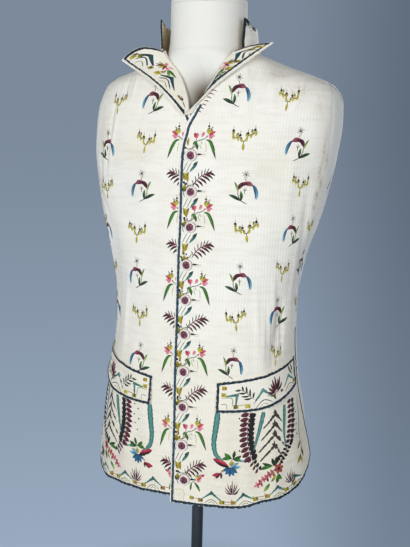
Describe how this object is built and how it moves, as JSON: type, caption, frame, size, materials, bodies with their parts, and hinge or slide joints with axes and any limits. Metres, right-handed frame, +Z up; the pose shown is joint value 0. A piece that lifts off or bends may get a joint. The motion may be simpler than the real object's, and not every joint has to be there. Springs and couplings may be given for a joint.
{
  "type": "embroidered waistcoat on a limbless dress form with a pole stand",
  "caption": "Men's embroidered silk waistcoat of about 1785 with standing collar, pointed lapels and shaped pocket flaps, buttoned on a limbless dress form with pole and round base.",
  "frame": {"origin": "centre of the base's underside, on the pole's axis, at floor level", "axes": "+Z up, front of the waistcoat towards -Y, the wearer's left towards +X"},
  "size_m": [0.408, 0.3002, 1.0733],
  "materials": {
    "silk": "ribbed ivory silk, soft sheen, aged",
    "linen": "plain bleached linen, matt",
    "button": "cloth-covered button, embroidered centre",
    "form_cover": "smooth white knit cover, matt",
    "dark_steel": "dark grey, satin"
  },
  "bodies": {
    "root": {"front_left": "silk", "front_right": "silk", "back_left": "linen", "back_right": "linen", "collar": "silk", "lapel_left": "silk", "lapel_right": "silk", "pocket_flap_left": "silk", "pocket_flap_right": "silk", "button_01": "button", "button_02": "button", "button_03": "button", "button_04": "button", "button_05": "button", "button_06": "button", "button_07": "button", "button_08": "button", "button_09": "button", "button_10": "button", "dress_form": "form_cover", "neck_cap": "form_cover", "pole": "dark_steel", "base": "dark_steel"}
  },
  "joints": []
}
